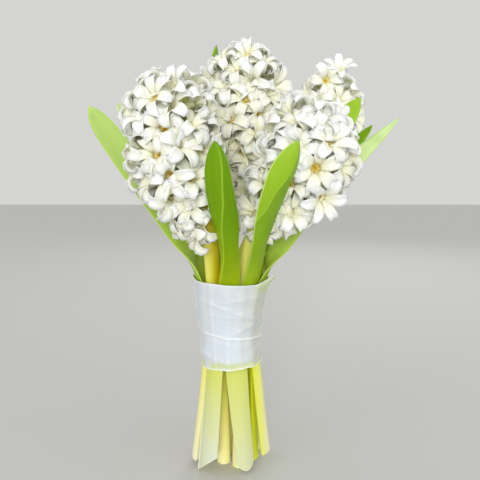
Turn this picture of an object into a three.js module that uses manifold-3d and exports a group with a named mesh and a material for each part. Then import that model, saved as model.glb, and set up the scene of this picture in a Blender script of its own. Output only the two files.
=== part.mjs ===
// A hand-tied bunch of four white hyacinths that stands on its cut stems and leaf bases.
// Each flower is a leafless green stem that carries a dense head of small six-lobed florets.
// The strap-shaped leaves stand round the stems, and one wide white band ties them all at the waist.
// Units are millimetres, +Z is up and -Y is the front. The origin lies on the surface that the
// bunch stands on, under the middle of its bounding box.
import * as THREE from "three";
import { mergeVertices } from "three/addons/utils/BufferGeometryUtils.js";
import Module from "manifold-3d";

const wasm = await Module();
wasm.setup();

// ---- driving dimensions ----

// Where the axis of the tied waist stands. Every place below is measured from it.
const tieAxis = new THREE.Vector3(-8.4, -2.4, 0);
const waistHeight = 95; // the narrowest height of the bunch
const collarHeight = 138; // the top of the band, where the leaves start to spread
const touchGap = 0.35; // air between pieces that touch

// The flowers. stem runs from the cut end to the head's foot, rachis from there to the head's tip.
// girth gives the head's width up the rachis as shares of radius, and pull is the way that the
// lowest florets hang.
const flowers = [
  {
    name: "left",
    stem: [[-6, -2, 0], [-9, -5, 95], [-12, -14, 138], [-13, -20, 158], [-15, -25, 180]],
    rachis: [[-15, -25, 180], [-33, -27, 213], [-39, -24, 247]],
    radius: 30.5,
    girth: [0.42, 0.66, 0.86, 1, 0.86],
    pull: [-0.9, 0, -1.0],
    florets: 26,
  },
  {
    name: "right",
    stem: [[5, -7, 0], [7, -8, 95], [8.5, -9, 138], [11.5, -13, 156], [15.5, -19, 170], [22, -25, 182]],
    rachis: [[22, -25, 182], [43, -28, 205], [49, -25, 229]],
    radius: 30,
    girth: [0.42, 0.6, 0.84, 1, 0.95],
    pull: [0.15, -0.1, -0.55],
    florets: 25,
  },
  {
    name: "centre",
    stem: [[-5, 11, 0], [-3, 6, 95], [3, 4, 138], [16, 12, 170], [15, 22, 203]],
    rachis: [[15, 22, 203], [11, 32, 240], [9, 37, 279]],
    radius: 31,
    girth: [0.6, 0.85, 1, 1, 0.95],
    pull: [-0.3, -0.4, -0.4],
    florets: 28,
  },
  {
    name: "back",
    stem: [[9, 8, 0], [9, 4, 95], [8, 16, 138], [30, 36, 172], [64, 42, 215]],
    rachis: [[64, 42, 215], [71, 44, 243], [70, 44, 271]],
    radius: 25.5,
    girth: [0.6, 0.9, 1, 0.95, 0.85],
    pull: [0.3, 0, -0.2],
    florets: 17,
  },
];

const stemSize = { foot: 5.0, waist: 4.7, head: 4.6, sides: 8 }; // radii up the stem
const stemEnd = { depth: 8, radius: 3.6 }; // how a stem's top sits in its head's foot
const core = { radius: 5.2, tipRadius: 2.6, sides: 8 }; // the slim core that the florets grow from

// A floret: tube, throat and six lobes that arch out and curl back. Lengths for a full-size one.
const floret = {
  lobes: 6,
  rootRadius: 1.5,
  rootDepth: 1.5, // how far from the core's axis the tube starts
  bellyRadius: 3.1, // the swelling at the foot of the tube
  bellyBelowMouth: 14,
  notchRadius: 4.6, // where two lobes part
  notchBelowMouth: 1.2,
  throatDepth: 7,
  archRadius: 9.6, // the widest place of a lobe, at the top of its arch
  archAboveMouth: 3.0,
  archHalfWidth: 4.3,
  lobeThickness: 1.3,
  grooveDepth: 0.5,
  tipRadius: 15.2,
  tipBelowMouth: 1.4,
};
const floretBeyondMouth = 4.6; // how far the lobes stand out past the mouth
const goldenAngle = THREE.MathUtils.degToRad(137.508);
const droop = THREE.MathUtils.degToRad(24); // how far the lowest florets hang
const rootLag = 5; // a floret's root sits this far below its mouth on the core
const skinSteps = 60; // rows that each stretch of a head's skin is measured in

// The leaves. angle and radius (of the outer face) at the cut end, waist and collar, in degrees
// and millimetres; then the points of the free blade, its greatest width, where the upper face
// looks at the tip, and the heights between which it turns that way. tip is how slowly the blade
// narrows, and cut is the height of its cut end and the slope of that cut across it.
const leaves = [
  {
    name: "left",
    angle: [184, 196, 190],
    radius: [28, 20, 25.5],
    neck: [15, 13, 15],
    blade: [[-44, 6, 172], [-71, 12, 211], [-100, 10, 254]],
    width: 20.5,
    face: [0.55, -0.75, 0.35],
    turn: [133, 172],
  },
  {
    name: "front",
    angle: [227, 238, 267],
    radius: [26, 20, 25],
    neck: [18, 12.5, 14.3],
    blade: [[-2, -38, 170], [-7, -52, 200], [-9, -59, 227]],
    width: 17.6,
    face: [0.1, 1, 0.2],
    turn: [138, 227],
    cut: { height: 4.5, slope: -0.5 },
  },
  {
    name: "front_right",
    angle: [299, 285, 305],
    radius: [25, 20, 25.5],
    neck: [14, 13, 13],
    blade: [[19, -39, 170], [29, -58, 203], [39.5, -65, 226.5]],
    width: 18.5,
    face: [-0.5, 1, 0.3],
    turn: [138, 226],
  },
  {
    name: "right",
    angle: [340, 334, 347],
    radius: [27, 20, 25.5],
    neck: [15, 13, 16],
    blade: [[43.5, 4, 171.5], [75, 8, 207], [117, 10, 247]],
    width: 21,
    face: [-0.3, -0.85, 0.4],
    turn: [131, 168],
    tip: 45,
    cut: { height: 8, slope: 0 },
  },
  {
    name: "right_inner",
    angle: [45, 46, 33],
    radius: [29, 20, 25.5],
    neck: [14, 12.5, 11],
    blade: [[31, 25.5, 182], [62, 14, 222], [89, 9, 260]],
    width: 18,
    face: [-0.3, -1, 0.2],
    turn: [138, 230],
  },
  {
    name: "right_low",
    angle: [14, 358, 4],
    radius: [27, 16, 17.2],
    neck: [11, 8, 8],
    blade: [[39.5, 15, 173], [73, 18, 213], [102, 24, 242]],
    width: 11,
    face: [-0.5, -0.8, 0.5],
    turn: [130, 210],
  },
  {
    name: "back",
    angle: [100, 97, 104],
    radius: [27, 20, 25.5],
    neck: [15, 13, 15],
    blade: [[-15, 40, 190], [-21, 58, 250], [-15, 64, 309]],
    width: 18,
    face: [1, -0.25, 0.1],
    turn: [138, 230],
  },
  {
    name: "left_back",
    angle: [142, 147, 146],
    radius: [27, 20, 25.5],
    neck: [15, 13, 15],
    blade: [[-42, 24, 178], [-66, 32, 218], [-86, 31, 259]],
    width: 18,
    face: [0.7, -0.5, 0.4],
    turn: [120, 190],
  },
];
const leafShape = {
  thickness: 2.6, // in the middle of the blade
  edgeThickness: 0.8,
  channel: 0.14, // depth of the channel as a share of the blade's width
  tipLength: 9, // how fast the blade narrows to its tip
  stations: 15,
  across: 4, // strips across each face
};

// The band: two turns of wide tape, with a step where the upper turn laps the lower one.
const band = {
  lowHeight: 78,
  lapHeight: 101,
  highHeight: 138,
  lowRadius: 21,
  waistRadius: 20.6,
  highRadius: 26.2,
  thickness: 1.0,
  lap: 0.5,
  flapRise: 5, // the loose corner that stands up on the right
  flapAngle: THREE.MathUtils.degToRad(5),
  sides: 32,
};

const paints = {
  petal: { color: 0xf4f5ee, roughness: 0.55, metalness: 0 },
  leaf: { color: 0x7cb21a, roughness: 0.4, metalness: 0 },
  stem: { color: 0xb9cf52, roughness: 0.45, metalness: 0 },
  band: { color: 0xdde3ea, roughness: 0.35, metalness: 0 },
};

// ---- small helpers ----

const up = new THREE.Vector3(0, 0, 1);
const toFront = new THREE.Vector3(0, -1, 0);
const place = (p) => new THREE.Vector3(...p).add(tieAxis);
const polar = (degrees, radius, z) => {
  const a = THREE.MathUtils.degToRad(degrees);
  return place([radius * Math.cos(a), radius * Math.sin(a), z]);
};
const smooth = (x) => THREE.MathUtils.smoothstep(x, 0, 1);
const mix = THREE.MathUtils.lerp;
const fraction = (x) => x - Math.floor(x);
const curveThrough = (points) => new THREE.CatmullRomCurve3(points, false, "catmullrom", 0.5);

// A closed solid from a list of points and triangles, as a manifold-3d body.
function solidFrom(points, triangles) {
  const geometry = new THREE.BufferGeometry().setFromPoints(points);
  geometry.setIndex(triangles.flat());
  return solidOf(geometry);
}

function solidOf(geometry) {
  geometry.deleteAttribute("normal");
  geometry.deleteAttribute("uv");
  const merged = mergeVertices(geometry, 1e-4);
  const vertProperties = new Float32Array(merged.attributes.position.array);
  const triVerts = new Uint32Array(merged.index.array);
  return new wasm.Manifold(new wasm.Mesh({ numProp: 3, vertProperties, triVerts }));
}

// The skin between rings of equal length, with a fan over each end. Rings run anticlockwise
// seen from the last ring.
function loft(rings) {
  const n = rings[0].length;
  const triangles = [];
  for (let r = 0; r + 1 < rings.length; r++) {
    for (let i = 0; i < n; i++) {
      const a = r * n + i;
      const b = r * n + ((i + 1) % n);
      triangles.push([a, b, b + n], [a, b + n, a + n]);
    }
  }
  const last = (rings.length - 1) * n;
  for (let i = 1; i + 1 < n; i++) {
    triangles.push([0, i + 1, i], [last, last + i, last + i + 1]);
  }
  return solidFrom(rings.flat(), triangles);
}

// A frame across a path: side and front are at right angles to the tangent.
function frameAcross(tangent, front) {
  const f = front.clone().addScaledVector(tangent, -front.dot(tangent)).normalize();
  return { side: new THREE.Vector3().crossVectors(tangent, f), front: f };
}

// A round rod through a row of points, with a radius at each.
function rod(points, radii, sides) {
  const path = curveThrough(points);
  const rings = points.map((centre, i) => {
    const { side, front } = frameAcross(path.getTangent(i / (points.length - 1)), toFront);
    return Array.from({ length: sides }, (_, k) => {
      const a = (2 * Math.PI * k) / sides;
      return centre
        .clone()
        .addScaledVector(side, radii[i] * Math.sin(a))
        .addScaledVector(front, radii[i] * Math.cos(a));
    });
  });
  return loft(rings);
}

const floorBlock = () => {
  const block = new THREE.BoxGeometry(400, 400, 40);
  block.translate(0, 0, -20);
  return solidOf(block);
};

// The largest outer body, with any hollow that fusing sealed filled in.
function outerBody(solid) {
  return solid.decompose().reduce((a, b) => (a.volume() > b.volume() ? a : b));
}

function meshFrom(name, solid, paint) {
  const m = solid.getMesh();
  const positions = new Float32Array(m.numVert * 3);
  for (let i = 0; i < m.numVert; i++) {
    positions.set(m.vertProperties.subarray(i * m.numProp, i * m.numProp + 3), i * 3);
  }
  const geometry = new THREE.BufferGeometry();
  geometry.setAttribute("position", new THREE.BufferAttribute(positions, 3));
  geometry.setIndex(new THREE.BufferAttribute(m.triVerts, 1));
  geometry.computeVertexNormals();
  const mesh = new THREE.Mesh(geometry, new THREE.MeshStandardMaterial(paint));
  mesh.name = name;
  return mesh;
}

// ---- a flower's stem ----

// The stem as a rod, thicker all round by growth. It starts below the floor, which trims it.
function stemRod(flower, growth) {
  const path = curveThrough(flower.stem.map(place));
  const rachis = curveThrough(flower.rachis.map(place));
  const top = path.getPoint(1);
  const stations = 11;
  const points = [path.getPointAt(0).add(new THREE.Vector3(0, 0, -6))];
  const radii = [stemSize.foot];
  for (let i = 0; i <= stations; i++) {
    const p = path.getPointAt(i / stations);
    points.push(p);
    radii.push(
      p.z < waistHeight
        ? mix(stemSize.foot, stemSize.waist, p.z / waistHeight)
        : mix(stemSize.waist, stemSize.head, (p.z - waistHeight) / (top.z - waistHeight)),
    );
  }
  points.push(rachis.getPointAt((stemEnd.depth + growth) / rachis.getLength()));
  radii.push(stemEnd.radius);
  return rod(points, radii.map((r) => r + growth), stemSize.sides);
}

// ---- a flower's head ----

const reachAt = (flower, along) => {
  const u = along * (flower.girth.length - 1);
  const i = Math.min(Math.floor(u), flower.girth.length - 2);
  return (flower.radius - floretBeyondMouth) * mix(flower.girth[i], flower.girth[i + 1], u - i);
};

// The skin of a head in rows from its lowest ring, up the rachis and over the pole. Each row has
// its place along the rachis, its rise over the round end, and the area of skin below it.
function headSkin(flower, length) {
  const rows = [{ along: 0, over: -Math.sin(droop), area: 0 }];
  for (const [along, over] of [[0, 0], [1, 0], [1, 1]]) {
    const from = rows.at(-1);
    for (let i = 1; i <= skinSteps; i++) {
      const last = rows.at(-1);
      const row = { along: mix(from.along, along, i / skinSteps), over: mix(from.over, over, i / skinSteps) };
      const reach = reachAt(flower, row.along);
      const climb = (row.over - last.over) * reach + (row.along - last.along) * length;
      rows.push({ ...row, area: last.area + climb * reach });
    }
  }
  return rows;
}

// Where the florets sit: they share out the head's skin evenly, at the golden angle.
function floretSpots(flower) {
  const rachis = curveThrough(flower.rachis.map(place));
  const length = rachis.getLength();
  const skin = headSkin(flower, length);
  return Array.from({ length: flower.florets }, (_, k) => {
    const area = (skin.at(-1).area * (k + 0.5)) / flower.florets;
    const { along, over } = skin.find((row) => row.area >= area);
    const tangent = rachis.getTangentAt(along);
    const { side, front } = frameAcross(tangent, toFront);
    const turn = goldenAngle * k;
    const flat = Math.sqrt(1 - over * over);
    const out = new THREE.Vector3(...flower.pull)
      .multiplyScalar((1 - along) ** 2)
      .addScaledVector(side, flat * Math.sin(turn))
      .addScaledVector(front, flat * Math.cos(turn))
      .addScaledVector(tangent, over)
      .normalize();
    const mouth = rachis.getPointAt(along).addScaledVector(out, reachAt(flower, along));
    const root = rachis.getPointAt(Math.max(0, along - rootLag / length));
    const size = mix(1, 0.84, smooth(Math.max(0, over)));
    return { root, mouth, roll: Math.PI * fraction(0.618 * k), size };
  });
}

// One floret, from its root inside the core to the tips of its lobes.
function floretSolid({ root, mouth, roll, size }) {
  const axis = mouth.clone().sub(root);
  const far = axis.length();
  axis.normalize();
  const { side, front } = frameAcross(axis, Math.abs(axis.z) > 0.9 ? toFront : up);
  const at = (angle, radius, along, sideways = 0) => {
    const c = Math.cos(angle + roll);
    const s = Math.sin(angle + roll);
    return root
      .clone()
      .addScaledVector(axis, along)
      .addScaledVector(front, radius * c - sideways * s)
      .addScaledVector(side, radius * s + sideways * c);
  };
  const f = floret;
  const step = (2 * Math.PI) / f.lobes;
  const points = [
    at(0, 0, far - f.throatDepth * size),
    ...[0, 1, 2].map((i) => at(2 * i * step, f.rootRadius, f.rootDepth)),
  ];
  const throat = 0;
  const foot = 1;
  const belly = points.length;
  for (let i = 0; i < f.lobes; i++) {
    points.push(at((i - 0.5) * step, f.bellyRadius * size, far - f.bellyBelowMouth * size));
  }
  const lobe = points.length;
  for (let i = 0; i < f.lobes; i++) {
    const angle = i * step;
    const arch = far + f.archAboveMouth * size;
    points.push(
      at(angle - step / 2, f.notchRadius * size, far - f.notchBelowMouth * size),
      at(angle, f.archRadius * size, arch, -f.archHalfWidth * size),
      at(angle, f.archRadius * size, arch, f.archHalfWidth * size),
      at(angle, f.archRadius * size, arch - f.grooveDepth * size),
      at(angle, f.archRadius * size, arch - (f.grooveDepth + f.lobeThickness) * size),
      at(angle, f.tipRadius * size, far - f.tipBelowMouth * size),
    );
  }
  const triangles = [[foot, foot + 2, foot + 1]];
  for (let i = 0; i < f.lobes; i++) {
    const next = (i + 1) % f.lobes;
    const [notch, left, right, groove, keel, tip] = [0, 1, 2, 3, 4, 5].map((j) => lobe + 6 * i + j);
    const nextNotch = lobe + 6 * next;
    triangles.push(
      [throat, notch, groove],
      [throat, groove, nextNotch],
      [notch, left, groove],
      [nextNotch, groove, right],
      [left, tip, groove],
      [groove, tip, right],
      [notch, nextNotch, keel],
      [notch, keel, left],
      [nextNotch, right, keel],
      [left, keel, tip],
      [keel, right, tip],
      [belly + i, nextNotch, notch],
      [belly + i, belly + next, nextNotch],
    );
    const rootPoint = foot + (i >> 1);
    triangles.push([rootPoint, belly + next, belly + i]);
    if (i % 2) triangles.push([rootPoint, foot + (((i >> 1) + 1) % 3), belly + next]);
  }
  return solidFrom(points, triangles);
}

// A floret that would press into a neighbour is held back until it stands clear of it.
function clearFloret(spot, neighbours) {
  const whole = floretSolid(spot);
  for (let share = 1; share > 0.45; share -= 0.09) {
    const mouth = spot.root.clone().lerp(spot.mouth, share);
    const grown = share === 1 ? whole : floretSolid({ ...spot, mouth, size: spot.size * share });
    if (neighbours.every((solid) => grown.intersect(solid).isEmpty())) return grown;
  }
  return null;
}

function headSolid(flower, neighbours) {
  const rachis = curveThrough(flower.rachis.map(place));
  const stations = [0, 0.3, 0.6, 0.85, 1];
  const centres = stations.map((u) => rachis.getPointAt(u));
  const radii = stations.map((u) => mix(core.radius, core.tipRadius, u));
  const florets = floretSpots(flower).map((spot) => clearFloret(spot, neighbours));
  const grown = [rod(centres, radii, core.sides), ...florets.filter((solid) => solid)];
  return outerBody(wasm.Manifold.union(grown).subtract(stemRod(flower, touchGap)));
}

// ---- leaves ----

function leafSolid(leaf) {
  const ends = [0, waistHeight, collarHeight];
  const held = leaf.angle.map((a, i) => polar(a, leaf.radius[i], ends[i]));
  const through = [...held, ...leaf.blade.map(place)];
  through.unshift(through[0].clone().lerp(through[1], -0.12));
  const path = curveThrough(through);
  const total = path.getLength();
  const tipHeight = leaf.blade.at(-1)[2];
  const [turnFrom, turnTo] = leaf.turn;
  const rings = [];
  for (let i = 0; i <= leafShape.stations; i++) {
    const u = 1 - (1 - i / leafShape.stations) ** 1.25;
    const p = path.getPointAt(u);
    const inward = new THREE.Vector3(tieAxis.x - p.x, tieAxis.y - p.y, 0).normalize();
    const turned = smooth((p.z - turnFrom) / (turnTo - turnFrom));
    const facing = inward.lerp(new THREE.Vector3(...leaf.face).normalize(), turned);
    const { side, front } = frameAcross(path.getTangentAt(u), facing);
    const free = smooth((p.z - collarHeight) / (tipHeight - collarHeight));
    const narrowing = 1 - Math.exp(-(total * (1 - u) + 0.6) / (leaf.tip ?? leafShape.tipLength));
    const width = leafWidth(leaf, p.z, free) * narrowing;
    rings.push(leafRing(p, side, front, width, Math.min(1, width / 8)));
  }
  const blade = loft(rings).subtract(floorBlock());
  return leaf.cut ? blade.subtract(cutBlock(held[0], leaf.cut)) : blade;
}

// What is cut away below a leaf that ends short or on a slant. A leaf's left, seen from outside,
// is the low side where the slope is negative.
function cutBlock(foot, cut) {
  const outward = new THREE.Vector3(foot.x - tieAxis.x, foot.y - tieAxis.y, 0).normalize();
  const across = new THREE.Vector3().crossVectors(outward, up);
  const normal = up.clone().addScaledVector(across, -cut.slope).normalize();
  const block = new THREE.BoxGeometry(200, 200, 40);
  block.translate(0, 0, -20);
  block.applyQuaternion(new THREE.Quaternion().setFromUnitVectors(up, normal));
  block.translate(foot.x, foot.y, cut.height);
  return solidOf(block);
}

// A leaf is narrow where the band gathers it, and widest towards the tip.
function leafWidth(leaf, z, free) {
  if (z < waistHeight) return mix(leaf.neck[0], leaf.neck[1], smooth(z / waistHeight));
  if (z < collarHeight) {
    return mix(leaf.neck[1], leaf.neck[2], (z - waistHeight) / (collarHeight - waistHeight));
  }
  return mix(leaf.neck[2], leaf.width, smooth(free * 2));
}

// The outline across a leaf: the upper face is a shallow channel, the lower face follows it.
function leafRing(centre, side, front, width, thickShare) {
  const point = (x, lift) =>
    centre
      .clone()
      .addScaledVector(side, (x * width) / 2)
      .addScaledVector(front, lift);
  const rim = (x) => leafShape.channel * width * x * x;
  const thick = (x) => mix(leafShape.thickness, leafShape.edgeThickness, x * x) * thickShare;
  const upper = [];
  const lower = [];
  for (let k = 0; k <= leafShape.across; k++) {
    const x = 1 - (2 * k) / leafShape.across;
    upper.push(point(x, rim(x) + thick(x)));
    lower.push(point(x, rim(x)));
  }
  return [...lower, ...upper.reverse()];
}

// ---- the band ----

function bandSolid() {
  const b = band;
  const ring = (height, radius, rise = 0, dip = 0) =>
    Array.from({ length: b.sides }, (_, k) => {
      const a = (2 * Math.PI * k) / b.sides;
      const flap = rise * Math.max(0, Math.cos(a - b.flapAngle)) ** 6;
      const x = (radius + 0.6 * flap) * Math.cos(a);
      const y = (radius + 0.3 * flap) * Math.sin(a);
      return place([x, y, height + flap + dip * Math.sin(a)]);
    });
  const t = b.thickness;
  const rings = [
    ring(b.lowHeight, b.lowRadius + t, 3, 1),
    ring(b.lapHeight, b.waistRadius + t, 0, 1.5),
    ring(b.lapHeight + 0.3, b.waistRadius + t + b.lap, 0, 1.5),
    ring((b.lapHeight + b.highHeight) / 2, (b.waistRadius + b.highRadius) / 2 + t + b.lap - 0.6),
    ring(b.highHeight, b.highRadius + t, b.flapRise, 1),
    ring(b.highHeight, b.highRadius, b.flapRise, 1),
    ring((b.lapHeight + b.highHeight) / 2, (b.waistRadius + b.highRadius) / 2 - 0.6),
    ring(b.lapHeight, b.waistRadius, 0, 1.5),
    ring(b.lowHeight, b.lowRadius, 3, 1),
  ];
  const n = b.sides;
  const triangles = [];
  rings.forEach((_, r) => {
    const next = (r + 1) % rings.length;
    for (let i = 0; i < n; i++) {
      const j = (i + 1) % n;
      triangles.push([r * n + i, r * n + j, next * n + j], [r * n + i, next * n + j, next * n + i]);
    }
  });
  return solidFrom(rings.flat(), triangles);
}

// ---- the bunch ----

const bunch = new THREE.Group();
const built = new Map();
function addPiece(name, solid, paint) {
  built.set(name, solid);
  bunch.add(meshFrom(name, solid, paint));
}
addPiece("tie_band", bandSolid(), paints.band);
for (const leaf of leaves) {
  addPiece(`leaf_${leaf.name}`, leafSolid(leaf), paints.leaf);
}
for (const flower of flowers) {
  addPiece(`stem_${flower.name}`, stemRod(flower, 0).subtract(floorBlock()), paints.stem);
}
for (const flower of flowers) {
  const others = [...built].filter(([name]) => name !== `stem_${flower.name}`);
  const neighbours = others.map(([, solid]) => solid);
  addPiece(`head_${flower.name}`, headSolid(flower, neighbours), paints.petal);
}

export default bunch;
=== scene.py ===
# A tied bunch of four white hyacinths, standing on its cut ends. Sizes are in millimetres here
# and become metres when a mesh is made. +Z is up and -Y is the front.
import math

import bpy
import numpy as np
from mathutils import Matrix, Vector


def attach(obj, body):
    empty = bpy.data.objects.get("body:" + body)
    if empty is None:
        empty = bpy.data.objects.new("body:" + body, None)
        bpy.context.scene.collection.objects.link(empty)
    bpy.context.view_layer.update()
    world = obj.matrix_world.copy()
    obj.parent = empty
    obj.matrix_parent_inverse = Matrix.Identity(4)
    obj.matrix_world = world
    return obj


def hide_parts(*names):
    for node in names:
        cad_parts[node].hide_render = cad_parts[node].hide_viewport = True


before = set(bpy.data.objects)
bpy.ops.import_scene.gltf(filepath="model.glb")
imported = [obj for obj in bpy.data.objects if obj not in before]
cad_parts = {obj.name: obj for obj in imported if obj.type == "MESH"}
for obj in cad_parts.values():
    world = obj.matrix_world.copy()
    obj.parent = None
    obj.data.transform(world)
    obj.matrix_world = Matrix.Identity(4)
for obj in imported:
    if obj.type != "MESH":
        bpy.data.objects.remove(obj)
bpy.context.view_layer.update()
print("stage: frame loaded")

mm = 0.001
tieAxis = np.array([-8.4, -2.4, 0.0])  # the tied waist's axis, which curves' points are measured from
waistHeight = 95.0
collarHeight = 138.0  # top of the band
cutLip = 0.05  # from the edge of a cut end up to the next row of points
sway = {"left": 1.5, "height": 108, "spread": 24}  # the tied waist stands a little to the left
goldenAngle = math.radians(137.508)
toFront = np.array([0.0, -1.0, 0.0])
toTop = np.array([0.0, 0.0, 1.0])


# shapes shared by the pieces

def smooth(x):
    # 3x^2 - 2x^3 between 0 and 1, flat outside
    x = np.clip(x, 0, 1)
    return x * x * (3 - 2 * x)


def mix(a, b, t):
    # a where t is 0, b where t is 1, in a straight line between
    return a + (b - a) * t


def unit(v):
    # each vector over its own length
    return v / np.linalg.norm(v, axis=-1, keepdims=True)


def wobble(seed, *coords):
    # sum of five seeded sines over the given coordinates, each quicker and weaker than the last,
    # about -1 to 1
    draw = np.random.default_rng(seed)
    total = 0.0
    for k in range(5):
        pace = 1 + 0.6 * k
        turn = sum(c * draw.normal(0, pace) for c in coords)
        total = total + np.sin(turn + draw.uniform(0, 2 * math.pi)) / pace
    return total / 2.2


def curveThrough(points, dense=60):
    # uniform Catmull-Rom spline, its end points mirrored outwards, as a dense row of points
    p = np.asarray(points, float) + tieAxis
    p = np.vstack([2 * p[0] - p[1], p, 2 * p[-1] - p[-2]])
    t = np.linspace(0, 1, dense, endpoint=False)[:, None]
    a, b, c, d = (q[:, None] for q in (p[:-3], p[1:-2], p[2:-1], p[3:]))
    bend = (2 * a - 5 * b + 4 * c - d) * t**2
    twist = (3 * b - 3 * c + d - a) * t**3
    spans = 0.5 * (2 * b + (c - a) * t + bend + twist)
    return np.vstack([spans.reshape(-1, 3), p[-2][None]])


def alongCurve(curve, share, nearby=0.004):
    # place at shares (0 to 1) of the curve's length, for any array of shares, and the unit tangent
    # from just before each place to just after it
    steps = np.linalg.norm(np.diff(curve, axis=0), axis=1)
    at = np.r_[0, np.cumsum(steps)] / steps.sum()

    def place(s):
        # straight between the curve's points
        return np.stack([np.interp(s, at, curve[:, k]) for k in range(3)], -1)

    tangent = place(np.clip(share + nearby, 0, 1)) - place(np.clip(share - nearby, 0, 1))
    return place(share), unit(tangent)


def curveLength(curve):
    # sum of the steps from point to point
    return float(np.linalg.norm(np.diff(curve, axis=0), axis=1).sum())


def frameAcross(tangent, facing):
    # front is facing made square to the tangent, side is tangent x front
    front = unit(facing - (facing * tangent).sum(-1, keepdims=True) * tangent)
    return np.cross(tangent, front), front


def shellFaces(rows, ring):
    # quads round a tube of rows x ring points, with a ladder of quads across each end
    i = np.arange(rows - 1)[:, None] * ring
    j = np.arange(ring)
    k = (j + 1) % ring
    sides = np.stack([i + j, i + k, i + ring + k, i + ring + j], -1).reshape(-1, 4)
    h = np.arange(ring // 2 - 1)
    ladder = np.stack([h, ring - 1 - h, ring - 2 - h, h + 1], -1)
    return np.vstack([sides, ladder, (rows - 1) * ring + ladder[:, ::-1]])


def repeatFaces(faces, copies, points):
    # the same faces for each of several copies of a shell, a shell's points apart
    return (faces[None] + (np.arange(copies) * points)[:, None, None]).reshape(-1, 4)


def joined(parts):
    # several (points, faces, values) as one, with missing values left at 0
    keys = sorted({k for _, _, values in parts for k in values})
    points = np.vstack([p for p, _, _ in parts])
    starts = np.cumsum([0] + [len(p) for p, _, _ in parts[:-1]])
    faces = np.vstack([f + s for (_, f, _), s in zip(parts, starts)])
    values = {k: np.concatenate([v.get(k, np.zeros(len(p))) for p, _, v in parts]) for k in keys}
    return points, faces, values


def swayed(points):
    # x moves to the left by a bell curve of height about the waist
    x, y, z = points.T
    bell = np.exp(-(((z - sway["height"]) / sway["spread"]) ** 2))
    return np.stack([x - sway["left"] * bell, y, z], -1)


def makePiece(name, shape, material, nodes, sharp=None):
    # the shape's swayed points and faces as a smooth mesh in metres, its values as attributes of
    # the points, and edges sharper than sharp degrees kept as edges
    points, faces, values = shape
    points = swayed(points)
    mesh = bpy.data.meshes.new(name)
    mesh.from_pydata((points * mm).tolist(), [], faces.tolist())
    for key, numbers in values.items():
        layer = mesh.attributes.new(key, "FLOAT", "POINT")
        layer.data.foreach_set("value", np.ascontiguousarray(numbers, dtype=np.float32))
    mesh.polygons.foreach_set("use_smooth", np.ones(len(faces), bool))
    if sharp:
        mesh.set_sharp_from_angle(angle=math.radians(sharp))
    mesh.materials.append(material)
    mesh.update()
    piece = bpy.data.objects.new(name, mesh)
    bpy.context.collection.objects.link(piece)
    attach(piece, "root")
    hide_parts(*nodes)
    return piece


# materials

class Nodes:
    # a few short words for building a material's nodes
    def __init__(self, name):
        self.material = bpy.data.materials.new(name)
        self.material.use_nodes = True
        self.tree = self.material.node_tree
        self.shader = self.tree.nodes["Principled BSDF"]

    def put(self, kind, links=(), **settings):
        # a new node with its settings, and its inputs linked or set
        node = self.tree.nodes.new(kind)
        for key, value in settings.items():
            setattr(node, key, value)
        for socket, value in dict(links).items():
            self.feed(node.inputs[socket], value)
        return node

    def feed(self, socket, value):
        # a link where the value is another node's output, else the plain value
        if isinstance(value, bpy.types.NodeSocket):
            self.tree.links.new(value, socket)
        else:
            socket.default_value = value

    def attribute(self, name):
        # one of the piece's own values
        return self.put("ShaderNodeAttribute", attribute_name=name).outputs["Fac"]

    def where(self):
        # the place on the piece, in metres
        return self.put("ShaderNodeTexCoord").outputs["Object"]

    def part(self, axis):
        # X, Y or Z of the place on the piece
        return self.put("ShaderNodeSeparateXYZ", {0: self.where()}).outputs[axis]

    def point(self, x, y, z=0.0):
        # three values as one place in a pattern
        return self.put("ShaderNodeCombineXYZ", {"X": x, "Y": y, "Z": z}).outputs[0]

    def noise(self, scale, detail=3, at=None, stretch=None):
        # soft noise about 0.5, at a place of its own or on the piece, and stretched there
        at = at or self.where()
        if stretch:
            at = self.put("ShaderNodeMapping", {"Vector": at, "Scale": stretch}).outputs[0]
        links = {"Vector": at, "Scale": scale, "Detail": detail}
        return self.put("ShaderNodeTexNoise", links).outputs["Fac"]

    def maths(self, operation, a, b=0.0, c=0.0):
        # one step of arithmetic
        node = self.put("ShaderNodeMath", operation=operation)
        for socket, value in zip(node.inputs, (a, b, c)):
            self.feed(socket, value)
        return node.outputs[0]

    def times(self, product, *others):
        # all the values multiplied, one after another
        for other in others:
            product = self.maths("MULTIPLY", product, other)
        return product

    def between(self, value, low, high):
        # 0 at low, 1 at high, smooth between
        links = {"Value": value, "From Min": low, "From Max": high}
        return self.put("ShaderNodeMapRange", links, interpolation_type="SMOOTHSTEP").outputs[0]

    def spanned(self, value, low, high):
        # low where the value is 0, high where it is 1, straight between
        links = {"Value": value, "To Min": low, "To Max": high}
        return self.put("ShaderNodeMapRange", links).outputs[0]

    def ramp(self, value, stops):
        # colours at their stops, straight between
        node = self.put("ShaderNodeValToRGB", {0: value})
        ramp = node.color_ramp
        while len(ramp.elements) < len(stops):
            ramp.elements.new(0.5)
        for element, (at, colour) in zip(ramp.elements, stops):
            element.position = at
            element.color = (*colour, 1)
        return node.outputs[0]

    def blend(self, share, a, b):
        # colour a where share is 0, colour b where it is 1
        node = self.put("ShaderNodeMix", data_type="RGBA")
        for socket, value in ((0, share), (6, a), (7, b)):
            self.feed(node.inputs[socket], (*value, 1) if isinstance(value, tuple) else value)
        return node.outputs[2]

    def bump(self, value, strength, distance):
        # the value as a height in the surface's shading
        links = {"Height": value, "Strength": strength, "Distance": distance}
        self.feed(self.shader.inputs["Normal"], self.put("ShaderNodeBump", links).outputs[0])

    def set(self, **sockets):
        # the shader's own sockets by name, with _ for a space
        for key, value in sockets.items():
            self.feed(self.shader.inputs[key.replace("_", " ")], value)
        return self.material


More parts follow.
